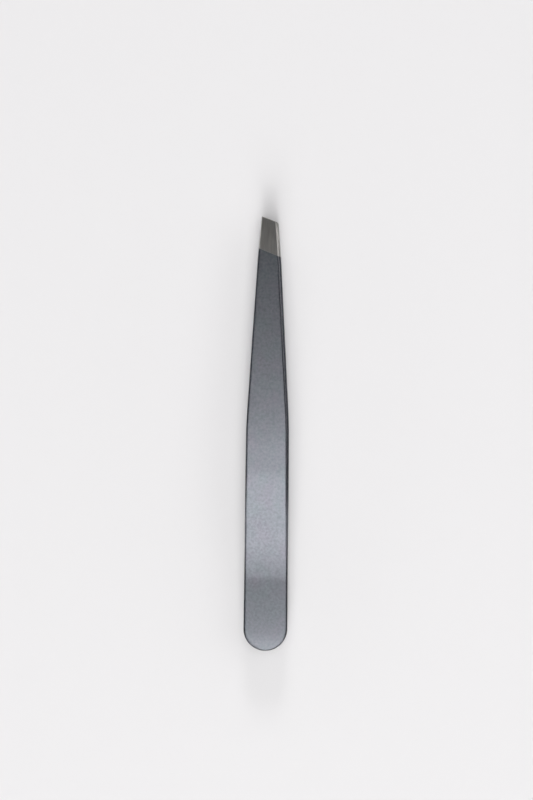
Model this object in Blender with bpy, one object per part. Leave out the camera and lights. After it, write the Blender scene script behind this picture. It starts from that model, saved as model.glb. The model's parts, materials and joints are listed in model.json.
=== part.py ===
"""Slant tweezers: two bowed spring arms of sheet steel, spot-welded together at the butt.

Each real arm is one stamped strip. It is parted here at its flexure, where the strip bends when
the pair is squeezed, so that the blade in front can turn on the root behind.

Frame: +X across the arms, +Y towards the tips, +Z up. The pair lies on its side: the lower arm's
crest touches z = 0 and the plane between the two arms is level. An arm is drawn in its own frame,
with y measured from the butt end and z from the plane between the arms.
"""

import math

import bmesh
import bpy
import numpy as np
from mathutils import Matrix, Vector
from mathutils.geometry import interpolate_bezier

MM = 0.001

# Driving dimensions: the strip
LENGTH = 95.0 * MM
SHEET = 1.2 * MM
OUTER_ROUND = 0.3 * MM
INNER_BREAK = 0.2 * MM

# Plan outline, as width at a distance from the butt end
BUTT_WIDTH = 9.55 * MM
SHOULDER_AT = 49.6 * MM
SHOULDER_WIDTH = 8.9 * MM
SHOULDER_BLEND = 3.0 * MM
HEEL_AT = 86.6 * MM
HEEL_WIDTH = 4.45 * MM
TIP_WIDTH = 3.05 * MM

# Side view: height of the strip's middle above the plane between the arms
WELD_GAP = 0.1 * MM
WELD_END = 15.5 * MM
BEND_END = 21.5 * MM
BEND_SLOPE = 0.2
CREST_AT = 42.0 * MM
CREST_FLAT = 5.0 * MM
CREST_HEIGHT = 4.35 * MM
TIP_HEIGHT = 2.7 * MM
TIP_SLOPE = -0.05

# Ground tip
SLANT = math.radians(21.0)
TIP_OPENING = 4.6 * MM
TIP_EDGE = 0.35 * MM
BEVEL_SLANT = math.radians(13.0)
BEVEL_SLOPE = 0.146

# Flexure, where the blade turns on the root
FLEXURE_AT = 27.0 * MM
FLEXURE_GAP = 0.3 * MM
CLOSED_GAP = 0.05 * MM

# Spot welds between the butts
WELD_CENTRE = 5.8 * MM
WELD_SPACING = 4.2 * MM
NUGGET_RADIUS = 1.2 * MM
NUGGET_HALF_HEIGHT = 0.3 * MM
POCKET_RADIUS = 1.5 * MM
POCKET_HALF_HEIGHT = 0.4 * MM

# The arms stand a fraction of a degree out of line with each other, as welded
SKEW = math.radians(0.25)

MID_Z = CREST_HEIGHT + SHEET / 2
OVERSHOOT = 3.0 * MM
WELD_TOLERANCE = 1e-6

COLLECTION = "slant_tweezers"


def clear_scene():
    for obj in list(bpy.data.objects):
        bpy.data.objects.remove(obj, do_unlink=True)


def new_collection(name):
    collection = bpy.data.collections.new(name)
    bpy.context.scene.collection.children.link(collection)
    return collection


def new_material(name, color, metallic, roughness):
    material = bpy.data.materials.new(name)
    material.use_nodes = True
    shader = material.node_tree.nodes["Principled BSDF"]
    shader.inputs["Base Color"].default_value = (*color, 1.0)
    shader.inputs["Metallic"].default_value = metallic
    shader.inputs["Roughness"].default_value = roughness
    material.diffuse_color = (*color, 1.0)
    return material


def bezier(start, start_handle, end_handle, end, count):
    """Points (y, z) along one cubic stretch of the side view."""
    corners = [Vector((y, z, 0.0)) for y, z in (start, start_handle, end_handle, end)]
    return [(point.x, point.y) for point in interpolate_bezier(*corners, count)]


def side_profile():
    """The strip's middle in side view: flat butt, concave bend, long bow, falling to the tip."""
    seat = (SHEET + WELD_GAP) / 2
    bend = BEND_END - WELD_END
    bend_rise = BEND_SLOPE * bend / 2
    bend_end = (BEND_END, seat + bend_rise)
    crest_rear = (CREST_AT - CREST_FLAT / 2, CREST_HEIGHT)
    crest_front = (CREST_AT + CREST_FLAT / 2, CREST_HEIGHT)
    tip = (LENGTH, TIP_HEIGHT)
    rise_handle = 9.0 * MM
    crest_rear_handle = 8.0 * MM
    crest_front_handle = 6.5 * MM
    tip_handle = 25.0 * MM
    points = [(0.0, seat)]
    points += bezier(
        (WELD_END, seat),
        (WELD_END + bend / 3, seat),
        (BEND_END - bend / 3, bend_end[1] - BEND_SLOPE * bend / 3),
        bend_end,
        24,
    )
    points += bezier(
        bend_end,
        (bend_end[0] + rise_handle, bend_end[1] + BEND_SLOPE * rise_handle),
        (crest_rear[0] - crest_rear_handle, CREST_HEIGHT),
        crest_rear,
        64,
    )
    points += bezier(
        crest_front,
        (crest_front[0] + crest_front_handle, CREST_HEIGHT),
        (LENGTH - tip_handle, TIP_HEIGHT - TIP_SLOPE * tip_handle),
        tip,
        96,
    )
    points.append((LENGTH + OVERSHOOT, TIP_HEIGHT + TIP_SLOPE * OVERSHOOT))
    return np.array(points)


SIDE = side_profile()


def middle_height(y):
    return float(np.interp(y, SIDE[:, 0], SIDE[:, 1]))


def half_width(y):
    """Half the strip's width in front of the round butt end, before the shoulder is blended."""
    radius = BUTT_WIDTH / 2
    stations = (radius, SHOULDER_AT, HEEL_AT, LENGTH, LENGTH + OVERSHOOT)
    end_width = TIP_WIDTH + (TIP_WIDTH - HEEL_WIDTH) / (LENGTH - HEEL_AT) * OVERSHOOT
    widths = (BUTT_WIDTH, SHOULDER_WIDTH, HEEL_WIDTH, TIP_WIDTH, end_width)
    return float(np.interp(y, stations, widths)) / 2


def plan_outline():
    """The blank's outline as a loop of (x, y), round the butt end and up both sides."""
    radius = BUTT_WIDTH / 2
    quarter = 8
    side = []
    for step in range(quarter + 1):
        angle = math.radians(90.0) * step / quarter
        side.append((radius * math.sin(angle), radius - radius * math.cos(angle)))
    rear = SHOULDER_AT - SHOULDER_BLEND
    front = SHOULDER_AT + SHOULDER_BLEND
    corner = Vector((half_width(SHOULDER_AT), SHOULDER_AT, 0.0))
    start = Vector((half_width(rear), rear, 0.0))
    end = Vector((half_width(front), front, 0.0))
    for point in interpolate_bezier(start, start.lerp(corner, 2 / 3), end.lerp(corner, 2 / 3), end, 5):
        side.append((point.x, point.y))
    side.append((HEEL_WIDTH / 2, HEEL_AT))
    side.append((half_width(LENGTH + OVERSHOOT), LENGTH + OVERSHOOT))
    left = [(-x, y) for x, y in reversed(side[1:])]
    return side + left


def bend_stations(outline):
    """Where the blank is creased across, so that its facets follow the side view."""
    bend = list(np.linspace(WELD_END, BEND_END, 4))
    rise = list(np.linspace(BEND_END, CREST_AT - CREST_FLAT / 2, 9))
    shoulder = [y for x, y in outline if x > 0 and SHOULDER_AT - SHOULDER_BLEND <= y <= HEEL_AT]
    fall = list(np.linspace(SHOULDER_AT + SHOULDER_BLEND, HEEL_AT, 11))
    tip = list(np.linspace(HEEL_AT, LENGTH, 4))
    stations = bend + rise + [CREST_AT + CREST_FLAT / 2] + shoulder + fall + tip
    return sorted({round(station, 7) for station in stations})


def flat_blank(outline):
    """The flat strip, cut from sheet: a filled 2D outline given the sheet's thickness."""
    curve = bpy.data.curves.new("blank", "CURVE")
    curve.dimensions = "2D"
    curve.fill_mode = "BOTH"
    curve.extrude = SHEET / 2
    spline = curve.splines.new("POLY")
    spline.points.add(len(outline) - 1)
    for point, (x, y) in zip(spline.points, outline):
        point.co = (x, y, 0.0, 1.0)
    spline.use_cyclic_u = True
    blank = bpy.data.objects.new("blank", curve)
    bpy.context.scene.collection.objects.link(blank)
    depsgraph = bpy.context.evaluated_depsgraph_get()
    mesh = bpy.data.meshes.new_from_object(blank.evaluated_get(depsgraph))
    bpy.data.objects.remove(blank, do_unlink=True)
    strip = bmesh.new()
    strip.from_mesh(mesh)
    bpy.data.meshes.remove(mesh)
    bmesh.ops.remove_doubles(strip, verts=strip.verts, dist=WELD_TOLERANCE)
    coplanar = math.radians(0.01)
    bmesh.ops.dissolve_limit(strip, angle_limit=coplanar, verts=strip.verts, edges=strip.edges)
    bmesh.ops.recalc_face_normals(strip, faces=strip.faces)
    return strip


def crease(strip, stations):
    for station in stations:
        geometry = strip.verts[:] + strip.edges[:] + strip.faces[:]
        bmesh.ops.bisect_plane(
            strip,
            geom=geometry,
            dist=WELD_TOLERANCE,
            plane_co=(0.0, station, 0.0),
            plane_no=(0.0, 1.0, 0.0),
        )


def round_rim(strip, side, width, segments):
    """Round the strip's rim on its upper (side = 1) or lower (side = -1) face."""
    rim = []
    for edge in strip.edges:
        on_face = all(side * vert.co.z > SHEET / 2 - WELD_TOLERANCE for vert in edge.verts)
        square = edge.is_manifold and edge.calc_face_angle() > math.radians(60.0)
        if on_face and square:
            rim.append(edge)
    bmesh.ops.bevel(
        strip,
        geom=rim,
        offset=width,
        offset_type="OFFSET",
        segments=segments,
        profile=0.5,
        affect="EDGES",
    )


def slice_off(solid, point, normal):
    """Cut away all that lies beyond a plane, on its normal's side, and close the cut."""
    geometry = solid.verts[:] + solid.edges[:] + solid.faces[:]
    bmesh.ops.bisect_plane(
        solid,
        geom=geometry,
        dist=WELD_TOLERANCE,
        plane_co=point,
        plane_no=normal,
        clear_outer=True,
    )
    rim = [edge for edge in solid.edges if edge.is_boundary]
    bmesh.ops.holes_fill(solid, edges=rim, sides=0)


def closing_angle():
    """How far a blade turns until the two ground tips are CLOSED_GAP apart."""
    travel = (TIP_OPENING - CLOSED_GAP) / 2
    return math.asin(travel / (LENGTH - FLEXURE_AT))


def grind_tip(solid):
    """Cut the slanted end, the outer bevel, and the inner flat that meets its twin when closed."""
    across = Vector((math.sin(SLANT), math.cos(SLANT), 0.0))
    corner = Vector((-TIP_WIDTH / 2, LENGTH, TIP_OPENING / 2))
    slice_off(solid, corner, across)
    downhill = Vector((math.sin(BEVEL_SLANT), math.cos(BEVEL_SLANT), 0.0))
    bevel = downhill * BEVEL_SLOPE + Vector((0.0, 0.0, 1.0))
    slice_off(solid, corner + Vector((0.0, 0.0, TIP_EDGE)), bevel)
    turn = closing_angle()
    slice_off(solid, corner, Vector((0.0, math.sin(turn), -math.cos(turn))))


def bent_arm():
    """One whole arm in its own frame, lying above the plane between the arms."""
    outline = plan_outline()
    strip = flat_blank(outline)
    crease(strip, bend_stations(outline))
    round_rim(strip, 1, OUTER_ROUND, 3)
    round_rim(strip, -1, INNER_BREAK, 2)
    for vert in strip.verts:
        vert.co.z += middle_height(vert.co.y)
    grind_tip(strip)
    return strip


def add_piece(name, solid, origin, parent, material, collection):
    """Make a piece whose own origin lies at a point of its parent's frame."""
    mesh = bpy.data.meshes.new(name)
    solid.transform(Matrix.Translation(-origin))
    bmesh.ops.recalc_face_normals(solid, faces=solid.faces)
    solid.to_mesh(mesh)
    solid.free()
    mesh.materials.append(material)
    mesh.shade_smooth()
    mesh.set_sharp_from_angle(angle=math.radians(30.0))
    piece = bpy.data.objects.new(name, mesh)
    collection.objects.link(piece)
    piece.parent = parent
    piece.location = origin
    return piece


def add_arm(side, skew, coat, collection):
    """Both pieces of one arm: the upper arm for side = 1, its mirror image for side = -1."""
    word = "upper" if side > 0 else "lower"
    frame = bpy.data.objects.new(word + "_arm_frame", None)
    frame.location = (0.0, WELD_CENTRE - LENGTH / 2, MID_Z)
    frame.rotation_euler = (0.0, 0.0, skew)
    collection.objects.link(frame)
    arm = bent_arm()
    flip = Matrix.Diagonal((1.0, 1.0, float(side), 1.0))
    arm.transform(flip @ Matrix.Translation((0.0, -WELD_CENTRE, 0.0)))
    flexure_y = FLEXURE_AT - WELD_CENTRE
    half_gap = Vector((0.0, FLEXURE_GAP / 2, 0.0))
    pivot = Vector((0.0, flexure_y, side * middle_height(FLEXURE_AT)))
    root = arm.copy()
    slice_off(root, pivot - half_gap, Vector((0.0, 1.0, 0.0)))
    slice_off(arm, pivot + half_gap, Vector((0.0, -1.0, 0.0)))
    root_piece = add_piece(word + "_arm_root", root, Vector(), frame, coat, collection)
    add_piece(word + "_arm_blade", arm, pivot, frame, coat, collection)
    return root_piece


def add_weld(name, y, steel, collection):
    """A spot weld's fused nugget, a flat lens on the plane between the butts."""
    bpy.ops.mesh.primitive_uv_sphere_add(segments=24, ring_count=12, radius=NUGGET_RADIUS)
    nugget = bpy.context.object
    squash = NUGGET_HALF_HEIGHT / NUGGET_RADIUS
    nugget.data.transform(Matrix.Diagonal((1.0, 1.0, squash, 1.0)))
    nugget.data.shade_smooth()
    nugget.data.materials.append(steel)
    nugget.name = name
    nugget.location = (0.0, y, MID_Z)
    for owner in list(nugget.users_collection):
        owner.objects.unlink(nugget)
    collection.objects.link(nugget)


def add_pocket_cutter(name, y, cutters):
    bpy.ops.mesh.primitive_cylinder_add(
        vertices=24,
        radius=POCKET_RADIUS,
        depth=2 * POCKET_HALF_HEIGHT,
        location=(0.0, y, MID_Z),
    )
    cutter = bpy.context.object
    cutter.name = name
    cutter.hide_render = True
    cutter.display_type = "WIRE"
    for owner in list(cutter.users_collection):
        owner.objects.unlink(cutter)
    cutters.objects.link(cutter)
    return cutter


def cut(piece, cutter):
    boolean = piece.modifiers.new("cut_" + cutter.name, "BOOLEAN")
    boolean.operation = "DIFFERENCE"
    boolean.solver = "EXACT"
    boolean.object = cutter


def main():
    clear_scene()
    tweezers = new_collection(COLLECTION)
    cutters = new_collection("cutters")
    upper_coat = new_material("upper_coat", (0.16, 0.165, 0.18), 0.85, 0.38)
    lower_coat = new_material("lower_coat", (0.15, 0.155, 0.17), 0.85, 0.38)
    steel = new_material("weld_steel", (0.45, 0.44, 0.42), 1.0, 0.45)
    roots = [
        add_arm(1, SKEW / 2, upper_coat, tweezers),
        add_arm(-1, -SKEW / 2, lower_coat, tweezers),
    ]
    centre = WELD_CENTRE - LENGTH / 2
    for word, y in (("rear", centre - WELD_SPACING / 2), ("front", centre + WELD_SPACING / 2)):
        add_weld("weld_nugget_" + word, y, steel, tweezers)
        cutter = add_pocket_cutter("pocket_" + word, y, cutters)
        for root in roots:
            cut(root, cutter)


main()
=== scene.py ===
"""The looks of the slant tweezers: two coated spring arms with bare ground tips.

Each arm is one smooth strip. It stands for the CAD arm's root and blade, and bends between their
bodies. An arm is built in its own frame, with y measured from the butt end and z from the plane
between the arms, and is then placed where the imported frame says.
"""

import json
import math

import bmesh
import bpy
import numpy as np
from mathutils import Matrix, Vector
from mathutils.geometry import interpolate_bezier


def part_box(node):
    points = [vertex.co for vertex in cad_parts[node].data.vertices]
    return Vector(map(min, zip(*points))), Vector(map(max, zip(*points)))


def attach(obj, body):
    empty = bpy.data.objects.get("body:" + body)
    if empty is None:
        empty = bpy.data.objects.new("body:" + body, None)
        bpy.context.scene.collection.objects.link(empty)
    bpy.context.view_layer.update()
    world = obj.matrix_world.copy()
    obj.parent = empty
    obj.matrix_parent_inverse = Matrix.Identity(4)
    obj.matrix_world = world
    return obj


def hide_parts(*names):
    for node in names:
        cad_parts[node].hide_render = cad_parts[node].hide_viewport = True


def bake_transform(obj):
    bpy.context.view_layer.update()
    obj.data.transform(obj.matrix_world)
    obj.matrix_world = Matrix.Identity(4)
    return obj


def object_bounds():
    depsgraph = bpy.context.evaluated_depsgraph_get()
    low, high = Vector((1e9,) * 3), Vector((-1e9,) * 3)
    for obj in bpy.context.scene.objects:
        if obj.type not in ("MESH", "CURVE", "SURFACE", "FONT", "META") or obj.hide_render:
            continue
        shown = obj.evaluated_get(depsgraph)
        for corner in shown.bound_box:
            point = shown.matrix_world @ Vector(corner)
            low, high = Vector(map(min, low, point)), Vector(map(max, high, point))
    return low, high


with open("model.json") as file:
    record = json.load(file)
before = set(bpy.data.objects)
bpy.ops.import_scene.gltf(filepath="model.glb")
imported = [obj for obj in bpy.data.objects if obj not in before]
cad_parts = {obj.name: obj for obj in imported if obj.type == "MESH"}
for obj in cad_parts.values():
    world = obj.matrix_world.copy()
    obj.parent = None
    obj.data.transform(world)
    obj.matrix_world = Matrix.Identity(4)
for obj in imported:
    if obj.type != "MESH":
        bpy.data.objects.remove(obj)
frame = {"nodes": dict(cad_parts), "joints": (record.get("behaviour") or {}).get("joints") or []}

CAD_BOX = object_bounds()
MM = 0.001

# Places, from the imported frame
BUTT_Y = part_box("upper_arm_root")[0].y
TIP_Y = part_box("upper_arm_blade")[1].y
MID_Z = (CAD_BOX[0].z + CAD_BOX[1].z) / 2
LENGTH = TIP_Y - BUTT_Y

# The strip, as the CAD has it, but for the inner round, which is larger
SHEET = 1.2 * MM
OUTER_ROUND = 0.3 * MM
INNER_ROUND = 0.35 * MM
BUTT_WIDTH = 9.55 * MM
SHOULDER_AT = 49.6 * MM
SHOULDER_WIDTH = 8.9 * MM
SHOULDER_BLEND = 3.0 * MM
HEEL_AT = 86.6 * MM
HEEL_WIDTH = 4.45 * MM
TIP_WIDTH = 3.05 * MM
WELD_GAP = 0.1 * MM
WELD_END = 15.5 * MM
WELD_CENTRE = 5.8 * MM
BEND_END = 21.5 * MM
BEND_SLOPE = 0.2
CREST_AT = 42.0 * MM
CREST_FLAT = 5.0 * MM
CREST_HEIGHT = 4.35 * MM
TIP_HEIGHT = 2.7 * MM
TIP_SLOPE = -0.05
SKEW = math.radians(0.25)
OVERSHOOT = 3.0 * MM

# The ground tip. Its bevel is a little flatter than the CAD's, and crowned
SLANT = math.radians(21.0)
TIP_OPENING = 4.6 * MM
TIP_EDGE = 0.35 * MM
BEVEL_SLANT = math.radians(13.0)
BEVEL_SLOPE = 0.138
BEVEL_CROWN = 0.17
CLOSING_ANGLE = math.radians(frame["joints"][0]["range_deg"][1])
COAT_EDGE_SLANT = math.radians(21.5)
COAT_EDGE_BACK = 7.85 * MM
TIP_OUTER_ROUND = 0.15 * MM
TIP_INNER_ROUND = 0.15 * MM
SHORT_CORNER_ROUND = 0.35 * MM
END_ROUND = 0.05 * MM
END_STEPS = (0.8, 0.6, 0.42, 0.27, 0.14, 0.08, 0.03, 0.0)

# How finely the strip is drawn
BEND_POINTS = 48
RISE_POINTS = 96
FALL_POINTS = 160
ARC_STEPS = 24
STATION_STEP = 0.7 * MM
ROUND_STEPS = 6
ACROSS_STEPS = 8
SUPPORT = 0.25 * MM
TIP_STEP = 0.35 * MM
SLOPE_PROBE = 0.1 * MM
CUT_TOLERANCE = 1e-7
SHARP_ANGLE = math.radians(25.0)

# How far the lights are from the object
PANEL_DISTANCE = 2.0

# The part of a noise's range that most of its values fall in
NOISE_LOW = 0.3
NOISE_HIGH = 0.7

# How far from the butt end the coat carries painted shade
SHADE_END = 24.0 * MM


def bezier(start, start_handle, end_handle, end, count):
    """Points (y, z) along one cubic stretch of the side view."""
    corners = [Vector((y, z, 0.0)) for y, z in (start, start_handle, end_handle, end)]
    return [(point.x, point.y) for point in interpolate_bezier(*corners, count)]


def side_profile():
    """The strip's middle in side view: flat butt, concave bend, long bow, falling to the tip."""
    seat = (SHEET + WELD_GAP) / 2
    bend = BEND_END - WELD_END
    bend_end = (BEND_END, seat + BEND_SLOPE * bend / 2)
    crest_rear = (CREST_AT - CREST_FLAT / 2, CREST_HEIGHT)
    crest_front = (CREST_AT + CREST_FLAT / 2, CREST_HEIGHT)
    rise_handle = 9.0 * MM
    crest_rear_handle = 8.0 * MM
    crest_front_handle = 6.5 * MM
    tip_handle = 25.0 * MM
    points = [(0.0, seat)]
    points += bezier(
        (WELD_END, seat),
        (WELD_END + bend / 3, seat),
        (BEND_END - bend / 3, bend_end[1] - BEND_SLOPE * bend / 3),
        bend_end,
        BEND_POINTS,
    )
    points += bezier(
        bend_end,
        (bend_end[0] + rise_handle, bend_end[1] + BEND_SLOPE * rise_handle),
        (crest_rear[0] - crest_rear_handle, CREST_HEIGHT),
        crest_rear,
        RISE_POINTS,
    )
    points += bezier(
        crest_front,
        (crest_front[0] + crest_front_handle, CREST_HEIGHT),
        (LENGTH - tip_handle, TIP_HEIGHT - TIP_SLOPE * tip_handle),
        (LENGTH, TIP_HEIGHT),
        FALL_POINTS,
    )
    points.append((LENGTH + OVERSHOOT, TIP_HEIGHT + TIP_SLOPE * OVERSHOOT))
    return np.array(points)


SIDE = side_profile()


def middle_height(y):
    return float(np.interp(y, SIDE[:, 0], SIDE[:, 1]))


def butt_dome(y):
    """The outer face's lift over the weld: a least-squares fit to the photo's tones, then changed."""
    stations = np.array((0.0, 1.0, 2.5, 5.0, 8.5, 12.0, 15.0, 18.0, 21.5, 25.0))
    lifts = np.array((-0.02, 0.07, 0.1, 0.06, -0.04, -0.15, -0.24, -0.29, -0.1, 0.0))
    return smooth_through(y, stations * MM, lifts * MM)


def smooth_through(y, stations, values):
    """A curve through given values with no corner between them, and level beyond the last."""
    if y <= stations[0]:
        return float(values[0])
    if y >= stations[-1]:
        return float(values[-1])
    slopes = np.gradient(values, stations)
    slopes[-1] = 0.0
    i = int(np.searchsorted(stations, y)) - 1
    step = stations[i + 1] - stations[i]
    t = (y - stations[i]) / step
    h00 = 2 * t**3 - 3 * t**2 + 1
    h10 = t**3 - 2 * t**2 + t
    h01 = 3 * t**2 - 2 * t**3
    h11 = t**3 - t**2
    value = h00 * values[i] + h10 * step * slopes[i] + h01 * values[i + 1] + h11 * step * slopes[i + 1]
    return float(value)


def half_width(y):
    """Half the strip's width in front of the round butt end, with the corners blended."""
    radius = BUTT_WIDTH / 2
    stations = (radius, SHOULDER_AT, HEEL_AT, LENGTH, LENGTH + OVERSHOOT)
    end_width = TIP_WIDTH + (TIP_WIDTH - HEEL_WIDTH) / (LENGTH - HEEL_AT) * OVERSHOOT
    widths = (BUTT_WIDTH, SHOULDER_WIDTH, HEEL_WIDTH, TIP_WIDTH, end_width)
    window = np.linspace(-SHOULDER_BLEND, SHOULDER_BLEND, 21)
    return float(np.mean(np.interp(y + window, stations, widths))) / 2


def outline_side():
    """The right side of the plan outline from the butt's end to past the tip: (point, outward normal)."""
    radius = BUTT_WIDTH / 2
    side = []
    for step in range(ARC_STEPS + 1):
        angle = math.radians(90.0) * step / ARC_STEPS
        outward = Vector((math.sin(angle), -math.cos(angle)))
        side.append((Vector((0.0, radius)) + outward * radius, outward))
    count = round((LENGTH + OVERSHOOT - radius) / STATION_STEP)
    for y in np.linspace(radius, LENGTH + OVERSHOOT, count)[1:]:
        wider, narrower = half_width(y - SLOPE_PROBE), half_width(y + SLOPE_PROBE)
        lean = (narrower - wider) / (2 * SLOPE_PROBE)
        side.append((Vector((half_width(y), y)), Vector((1.0, -lean)).normalized()))
    return side


def round_over(radius, steps):
    """A quarter round from a flat face to the rim: (distance in from the rim, drop from the face)."""
    angles = [math.radians(90.0) * step / steps for step in range(steps + 1)]
    return [(radius * (1 - math.sin(angle)), radius * (1 - math.cos(angle))) for angle in angles]


def rim_rings():
    """Rings round the strip's rim, from the outer face to the inner: (inset, height)."""
    half = SHEET / 2
    rings = [(OUTER_ROUND + SUPPORT, half)]
    rings += [(inset, half - drop) for inset, drop in round_over(OUTER_ROUND, ROUND_STEPS)]
    rings += [(inset, drop - half) for inset, drop in reversed(round_over(INNER_ROUND, ROUND_STEPS))]
    rings.append((INNER_ROUND + SUPPORT, -half))
    return rings


def strip_mesh():
    """The whole bent strip, open past the tip, where the end is cut afterwards."""
    strip = bmesh.new()
    side = outline_side()

    def add(x, y, height):
        lift = butt_dome(y) * max(0.0, height) / (SHEET / 2)
        return strip.verts.new((x, y, middle_height(y) + height + lift))

    def face(corners):
        if len(set(corners)) > 2:
            strip.faces.new([c for i, c in enumerate(corners) if c not in corners[:i]])

    right, left = [], []
    for inset, height in rim_rings():
        right_ring, left_ring = [], []
        for point, outward in side:
            x, y = point - outward * inset
            right_ring.append(add(x, y, height))
            left_ring.append(right_ring[0] if len(left_ring) == 0 else add(-x, y, height))
        right.append(right_ring)
        left.append(left_ring)
    for ring in range(len(right) - 1):
        for i in range(len(side) - 1):
            a, b = right[ring], right[ring + 1]
            face([a[i], b[i], b[i + 1], a[i + 1]])
            a, b = left[ring], left[ring + 1]
            face([a[i], a[i + 1], b[i + 1], b[i]])
    for ring, height, turn in ((0, SHEET / 2, 1), (len(right) - 1, -SHEET / 2, -1)):
        rows = [[right[ring][0]] * (ACROSS_STEPS + 1)]
        for i in range(1, len(side)):
            start, end = left[ring][i], right[ring][i]
            row = [start]
            for step in range(1, ACROSS_STEPS):
                x = start.co.x + (end.co.x - start.co.x) * step / ACROSS_STEPS
                row.append(add(x, start.co.y, height))
            rows.append(row + [end])
        for below, above in zip(rows, rows[1:]):
            for step in range(ACROSS_STEPS):
                corners = [below[step], below[step + 1], above[step + 1], above[step]]
                face(corners[::turn])
    return strip


def slice_off(solid, point, normal):
    """Cut away all that lies beyond a plane, on its normal's side, and close the cut."""
    geometry = solid.verts[:] + solid.edges[:] + solid.faces[:]
    bmesh.ops.bisect_plane(
        solid,
        geom=geometry,
        dist=CUT_TOLERANCE,
        plane_co=point,
        plane_no=normal,
        clear_outer=True,
    )
    rim = [edge for edge in solid.edges if edge.is_boundary]
    bmesh.ops.holes_fill(solid, edges=rim, sides=0)


def outer_height(x, y):
    """The ground tip's outer face: the strip's own, cut down by a bevel that the belt has crowned."""
    back = math.sin(BEVEL_SLANT) * (-TIP_WIDTH / 2 - x) + math.cos(BEVEL_SLANT) * (LENGTH - y)
    crown = BEVEL_CROWN * (back - back**2 / COAT_EDGE_BACK)
    bevel = TIP_OPENING / 2 + TIP_EDGE + BEVEL_SLOPE * (back + crown)
    return min(middle_height(y) + SHEET / 2, bevel)


def inner_height(y):
    """The ground tip's inner face: the strip's own, cut down by the flat that meets its twin."""
    flat = TIP_OPENING / 2 + math.tan(CLOSING_ANGLE) * (y - LENGTH)
    return max(middle_height(y) - SHEET / 2, flat)


def quarter_inset(radius, depth):
    """How far a rounded corner stands back from the square one, this deep in from its end."""
    if depth >= radius:
        return 0.0
    return radius - math.sqrt(radius**2 - (radius - depth) ** 2)


def tip_section(back, length):
    """One slanted section of the ground tip, as a loop of points, this far back from its end."""
    share = 1 - back / length
    slope = math.tan(COAT_EDGE_SLANT + (SLANT - COAT_EDGE_SLANT) * share)
    middle = LENGTH - COAT_EDGE_BACK + length * share
    outer_round = OUTER_ROUND + (TIP_OUTER_ROUND - OUTER_ROUND) * share**2
    inner_round = INNER_ROUND + (TIP_INNER_ROUND - INNER_ROUND) * share
    worn = quarter_inset(END_ROUND, back)

    def edge(side):
        y = middle
        for _ in range(4):
            y = middle - side * half_width(y) * slope
        corner = quarter_inset(SHORT_CORNER_ROUND, back) if side > 0 else 0.0
        return half_width(y) - worn - corner

    def outer_point(x, drop):
        y = middle - x * slope
        return (x, y, outer_height(x, y) - worn - drop)

    def inner_point(x, rise):
        y = middle - x * slope
        return (x, y, inner_height(y) + worn + rise)

    right, left = edge(1), edge(-1)
    outer = round_over(outer_round, ROUND_STEPS)
    inner = round_over(inner_round, ROUND_STEPS)
    loop = []
    for x in np.linspace(-left + outer_round, right - outer_round, ACROSS_STEPS + 1):
        loop.append(outer_point(x, 0.0))
    loop += [outer_point(right - inset, drop) for inset, drop in outer[1:]]
    loop += [inner_point(right - inset, drop) for inset, drop in inner[:0:-1]]
    for x in np.linspace(right - inner_round, -left + inner_round, ACROSS_STEPS + 1):
        loop.append(inner_point(x, 0.0))
    loop += [inner_point(inset - left, drop) for inset, drop in inner[1:]]
    loop += [outer_point(inset - left, drop) for inset, drop in outer[:0:-1]]
    return loop


def tip_mesh():
    """The ground tip, lofted through slanted sections from the coat's edge to the slanted end."""
    length = COAT_EDGE_BACK - math.tan(SLANT) * TIP_WIDTH / 2
    backs = list(np.linspace(length, SHORT_CORNER_ROUND, round(length / TIP_STEP)))
    backs += [SHORT_CORNER_ROUND * share for share in END_STEPS]
    tip = bmesh.new()
    loops = []
    for back in backs:
        loops.append([tip.verts.new(point) for point in tip_section(back, length)])
    count = len(loops[0])
    for rear, front in zip(loops, loops[1:]):
        for i in range(count):
            j = (i + 1) % count
            tip.faces.new((rear[i], rear[j], front[j], front[i]))
    tip.faces.new(loops[0])
    tip.faces.new(reversed(loops[-1]))
    return tip


def add_mesh(name, solid, material):
    mesh = bpy.data.meshes.new(name)
    bmesh.ops.recalc_face_normals(solid, faces=solid.faces)
    solid.to_mesh(mesh)
    solid.free()
    mesh.shade_smooth()
    mesh.set_sharp_from_angle(angle=SHARP_ANGLE)
    mesh.materials.append(material)
    piece = bpy.data.objects.new(name, mesh)
    bpy.context.scene.collection.objects.link(piece)
    return piece


def add_arm(side, coat, steel):
    """The coated arm and its bare tip: the upper arm for side = 1, its mirror image for side = -1."""
    word = "upper" if side > 0 else "lower"
    weld = Matrix.Translation((0.0, BUTT_Y + WELD_CENTRE, MID_Z))
    turn = Matrix.Rotation(side * SKEW / 2, 4, "Z")
    flip = Matrix.Diagonal((1.0, 1.0, float(side), 1.0))
    place = weld @ turn @ flip @ Matrix.Translation((0.0, -WELD_CENTRE, 0.0))
    arm = strip_mesh()
    coat_edge = Vector((0.0, LENGTH - COAT_EDGE_BACK, 0.0))
    ahead = Vector((math.sin(COAT_EDGE_SLANT), math.cos(COAT_EDGE_SLANT), 0.0))
    slice_off(arm, coat_edge, ahead)
    tip = tip_mesh()
    arm.transform(place)
    tip.transform(place)
    coated = add_mesh(word + "_arm", arm, coat)
    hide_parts(word + "_arm_root", word + "_arm_blade")
    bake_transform(coated)
    bare = add_mesh(word + "_tip", tip, steel)
    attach(bare, word + "_blade")


def new_material(name):
    material = bpy.data.materials.new(name)
    material.use_nodes = True
    nodes = material.node_tree.nodes
    return material, nodes, material.node_tree.links, nodes["Principled BSDF"]


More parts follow.
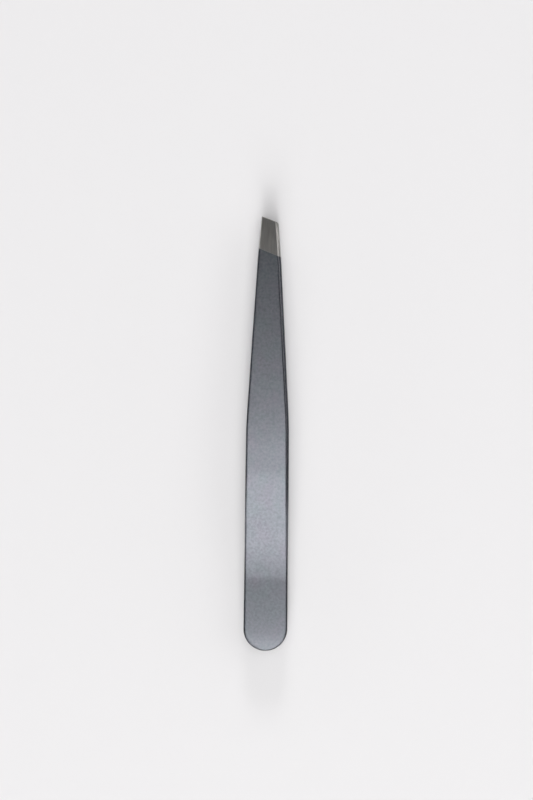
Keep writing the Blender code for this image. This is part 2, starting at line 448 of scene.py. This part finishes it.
def noise(nodes, links, stretch, detail, seed_offset=(0.0, 0.0, 0.0)):
    """Noise in the object's own space. stretch is how many cells fit in a metre, along each axis."""
    place = nodes.new("ShaderNodeTexCoord")
    mapping = nodes.new("ShaderNodeMapping")
    mapping.inputs["Scale"].default_value = stretch
    mapping.inputs["Location"].default_value = seed_offset
    texture = nodes.new("ShaderNodeTexNoise")
    texture.inputs["Scale"].default_value = 1.0
    texture.inputs["Detail"].default_value = detail
    links.new(place.outputs["Object"], mapping.inputs["Vector"])
    links.new(mapping.outputs["Vector"], texture.inputs["Vector"])
    return texture.outputs["Fac"]


def spread(nodes, links, value, low, high):
    """Map a noise's middle range onto low to high."""
    ranged = nodes.new("ShaderNodeMapRange")
    ranged.inputs["From Min"].default_value = NOISE_LOW
    ranged.inputs["From Max"].default_value = NOISE_HIGH
    ranged.inputs["To Min"].default_value = low
    ranged.inputs["To Max"].default_value = high
    links.new(value, ranged.inputs["Value"])
    return ranged.outputs["Result"]


def two_tone(nodes, links, value, dark, light):
    """Map a noise's middle range onto one colour to another."""
    ramp = nodes.new("ShaderNodeValToRGB")
    ramp.color_ramp.elements[0].position = NOISE_LOW
    ramp.color_ramp.elements[0].color = (*dark, 1.0)
    ramp.color_ramp.elements[1].position = NOISE_HIGH
    ramp.color_ramp.elements[1].color = (*light, 1.0)
    links.new(value, ramp.inputs["Fac"])
    return ramp.outputs["Color"]


def bump(nodes, links, height, strength, distance, under=None):
    relief = nodes.new("ShaderNodeBump")
    relief.inputs["Strength"].default_value = strength
    relief.inputs["Distance"].default_value = distance
    links.new(height, relief.inputs["Height"])
    if under is not None:
        links.new(under, relief.inputs["Normal"])
    return relief.outputs["Normal"]


def multiply(nodes, links, first, second):
    mix = nodes.new("ShaderNodeMix")
    mix.data_type = "RGBA"
    mix.blend_type = "MULTIPLY"
    mix.inputs["Factor"].default_value = 1.0
    links.new(first, mix.inputs["A"])
    links.new(second, mix.inputs["B"])
    return mix.outputs["Result"]


def painted_weld_shade(nodes, links):
    """Painted shade: a soft darkening of the coat over the weld and the bend, standing in for part of the
    dark band of reflection there."""
    place = nodes.new("ShaderNodeTexCoord")
    axes = nodes.new("ShaderNodeSeparateXYZ")
    along = nodes.new("ShaderNodeMapRange")
    along.inputs["From Min"].default_value = BUTT_Y
    along.inputs["From Max"].default_value = BUTT_Y + SHADE_END
    ramp = nodes.new("ShaderNodeValToRGB")
    ramp.color_ramp.interpolation = "B_SPLINE"
    stops = ((0.0, 1.0), (0.1, 0.86), (0.3, 0.82), (0.5, 0.79), (0.7, 0.68), (0.85, 0.88), (1.0, 1.0))
    while len(ramp.color_ramp.elements) < len(stops):
        ramp.color_ramp.elements.new(0.5)
    for element, (position, level) in zip(ramp.color_ramp.elements, stops):
        element.position = position
        element.color = (level, level, level, 1.0)
    links.new(place.outputs["Object"], axes.inputs["Vector"])
    links.new(axes.outputs["Y"], along.inputs["Value"])
    links.new(along.outputs["Result"], ramp.inputs["Fac"])
    return ramp.outputs["Color"]


def gunmetal_coat():
    """Satin grey metallic coat: fine sprayed grain, faintly clouded with blue and violet."""
    material, nodes, links, shader = new_material("gunmetal_coat")
    mottle = noise(nodes, links, (1900.0, 1900.0, 1900.0), 3.0)
    cloud = noise(nodes, links, (330.0, 240.0, 330.0), 2.0, (5.3, 2.9, 1.7))
    grain = noise(nodes, links, (3600.0, 3600.0, 3600.0), 3.0)
    flake = two_tone(nodes, links, mottle, (0.106, 0.11, 0.121), (0.142, 0.146, 0.1605))
    tint = two_tone(nodes, links, cloud, (0.95, 1.0, 0.99), (1.0, 0.965, 1.0))
    clouded = multiply(nodes, links, flake, tint)
    # Painted shade over the weld and the bend, multiplied into the coat's colour
    shaded = multiply(nodes, links, clouded, painted_weld_shade(nodes, links))
    links.new(shaded, shader.inputs["Base Color"])
    links.new(spread(nodes, links, mottle, 0.275, 0.285), shader.inputs["Roughness"])
    links.new(bump(nodes, links, grain, 0.1, 0.01 * MM), shader.inputs["Normal"])
    shader.inputs["Metallic"].default_value = 1.0
    shader.inputs["Specular Tint"].default_value = (0.3, 0.3, 0.3, 1.0)
    return material


def ground_steel():
    """Bare stainless steel with the lengthwise lines of the grinding belt."""
    material, nodes, links, shader = new_material("ground_steel")
    lines = noise(nodes, links, (4200.0, 90.0, 4200.0), 3.0)
    streaks = noise(nodes, links, (2200.0, 50.0, 2200.0), 3.0, (3.1, 0.7, 1.9))
    colour = two_tone(nodes, links, streaks, (0.342, 0.331, 0.317), (0.438, 0.427, 0.41))
    links.new(colour, shader.inputs["Base Color"])
    links.new(spread(nodes, links, lines, 0.3, 0.35), shader.inputs["Roughness"])
    links.new(bump(nodes, links, lines, 0.1, 0.004 * MM), shader.inputs["Normal"])
    shader.inputs["Metallic"].default_value = 1.0
    return material


def weld_steel():
    """The spot welds' steel, tinted straw and blue by heat."""
    material, nodes, links, shader = new_material("weld_steel")
    tint = noise(nodes, links, (900.0, 900.0, 900.0), 2.0)
    colour = two_tone(nodes, links, tint, (0.30, 0.27, 0.30), (0.50, 0.43, 0.33))
    links.new(colour, shader.inputs["Base Color"])
    links.new(spread(nodes, links, tint, 0.35, 0.5), shader.inputs["Roughness"])
    shader.inputs["Metallic"].default_value = 1.0
    return material


def add_floor():
    bpy.ops.mesh.primitive_plane_add(size=2.4, location=(0.0, 0.0, 0.0))
    floor = bpy.context.object
    floor.name = "floor"
    material, nodes, links, shader = new_material("floor_paper")
    shader.inputs["Base Color"].default_value = (0.83, 0.82, 0.825, 1.0)
    shader.inputs["Roughness"].default_value = 0.9
    shader.inputs["Specular IOR Level"].default_value = 0.1
    floor.data.materials.append(material)


def add_panel(name, lean, width, radiance):
    """A flat light on a sphere round the object, facing it. lean is how far it stands from straight
    overhead, and width how wide it looks from the object, each as (across, along) in degrees."""
    tilt = Vector((math.tan(math.radians(lean[0])), math.tan(math.radians(lean[1])), 1.0)).normalized()
    across = Vector((0.0, 1.0, 0.0)).cross(tilt).normalized()
    data = bpy.data.lights.new(name, "AREA")
    data.shape = "RECTANGLE"
    data.size = 2 * PANEL_DISTANCE * math.tan(math.radians(width[0] / 2))
    data.size_y = 2 * PANEL_DISTANCE * math.tan(math.radians(width[1] / 2))
    data.energy = math.pi * data.size * data.size_y * radiance
    panel = bpy.data.objects.new(name, data)
    bpy.context.scene.collection.objects.link(panel)
    axes = Matrix((across, tilt.cross(across), tilt)).transposed().to_4x4()
    panel.matrix_world = Matrix.Translation(tilt * PANEL_DISTANCE) @ axes
    return panel


def add_lights():
    """Soft studio panels. The window, ceiling and right wall light the floor and aren't reflected, and
    the corners are only reflected."""
    add_panel("window", (-3.0, -56.0), (24.0, 33.0), 5.0).visible_glossy = False
    add_panel("overhead", (0.0, -25.0), (10.0, 42.0), 6.7)
    add_panel("edge", (0.0, -1.75), (10.0, 4.5), 11.6)
    add_panel("ceiling", (0.0, 0.0), (40.0, 40.0), 1.6).visible_glossy = False
    add_panel("right_wall", (46.0, 10.0), (26.0, 53.0), 1.0).visible_glossy = False
    for side, across in (("left", -59.0), ("right", 59.0)):
        for end, along in (("rear", -59.0), ("front", 59.0)):
            corner = add_panel("corner_" + end + "_" + side, (across, along), (44.0, 44.0), 1.6)
            corner.visible_diffuse = False
    add_panel("far_wall", (0.0, 66.0), (14.0, 14.0), 13.0)


def add_world():
    """A dim room with a bright band round its foot, and a pale backdrop for what the camera sees."""
    world = bpy.data.worlds.new("studio")
    bpy.context.scene.world = world
    world.use_nodes = True
    nodes, links = world.node_tree.nodes, world.node_tree.links
    direction = nodes.new("ShaderNodeTexCoord")
    axes = nodes.new("ShaderNodeSeparateXYZ")
    walls = nodes.new("ShaderNodeValToRGB")
    walls.color_ramp.elements[0].position = 0.26
    walls.color_ramp.elements[0].color = (0.9, 0.9, 0.92, 1.0)
    walls.color_ramp.elements[1].position = 0.4
    walls.color_ramp.elements[1].color = (0.045, 0.045, 0.047, 1.0)
    room = nodes["Background"]
    links.new(direction.outputs["Generated"], axes.inputs["Vector"])
    links.new(axes.outputs["Z"], walls.inputs["Fac"])
    links.new(walls.outputs["Color"], room.inputs["Color"])
    backdrop = nodes.new("ShaderNodeBackground")
    backdrop.inputs["Color"].default_value = (0.86, 0.85, 0.855, 1.0)
    path = nodes.new("ShaderNodeLightPath")
    mix = nodes.new("ShaderNodeMixShader")
    links.new(path.outputs["Is Camera Ray"], mix.inputs["Fac"])
    links.new(room.outputs["Background"], mix.inputs[1])
    links.new(backdrop.outputs["Background"], mix.inputs[2])
    links.new(mix.outputs["Shader"], nodes["World Output"].inputs["Surface"])


def add_camera():
    """Almost straight down, from a little to the right, turned a fraction of a degree."""
    distance = 1.3
    lean = math.radians(1.65)
    turn = math.radians(0.64)
    aim = Vector((-0.23 * MM, 7.37 * MM, MID_Z + 3.0 * MM))
    data = bpy.data.cameras.new("camera")
    data.lens = 267.8
    data.sensor_width = 36.0
    camera = bpy.data.objects.new("camera", data)
    bpy.context.scene.collection.objects.link(camera)
    back = Vector((math.sin(lean), 0.0, math.cos(lean)))
    up = Vector((-math.sin(turn), math.cos(turn), 0.0))
    right = up.cross(back).normalized()
    up = back.cross(right)
    axes = Matrix((right, up, back)).transposed().to_4x4()
    camera.matrix_world = Matrix.Translation(aim + back * distance) @ axes
    bpy.context.scene.camera = camera


def main():
    add_camera()
    coat = gunmetal_coat()
    steel = ground_steel()
    add_arm(1, coat, steel)
    add_arm(-1, coat, steel)
    weld = weld_steel()
    for word in ("rear", "front"):
        nugget = frame["nodes"]["weld_nugget_" + word]
        nugget.data.materials.clear()
        nugget.data.materials.append(weld)
    add_floor()
    add_lights()
    add_world()
    bpy.context.scene.view_settings.view_transform = "Standard"


main()
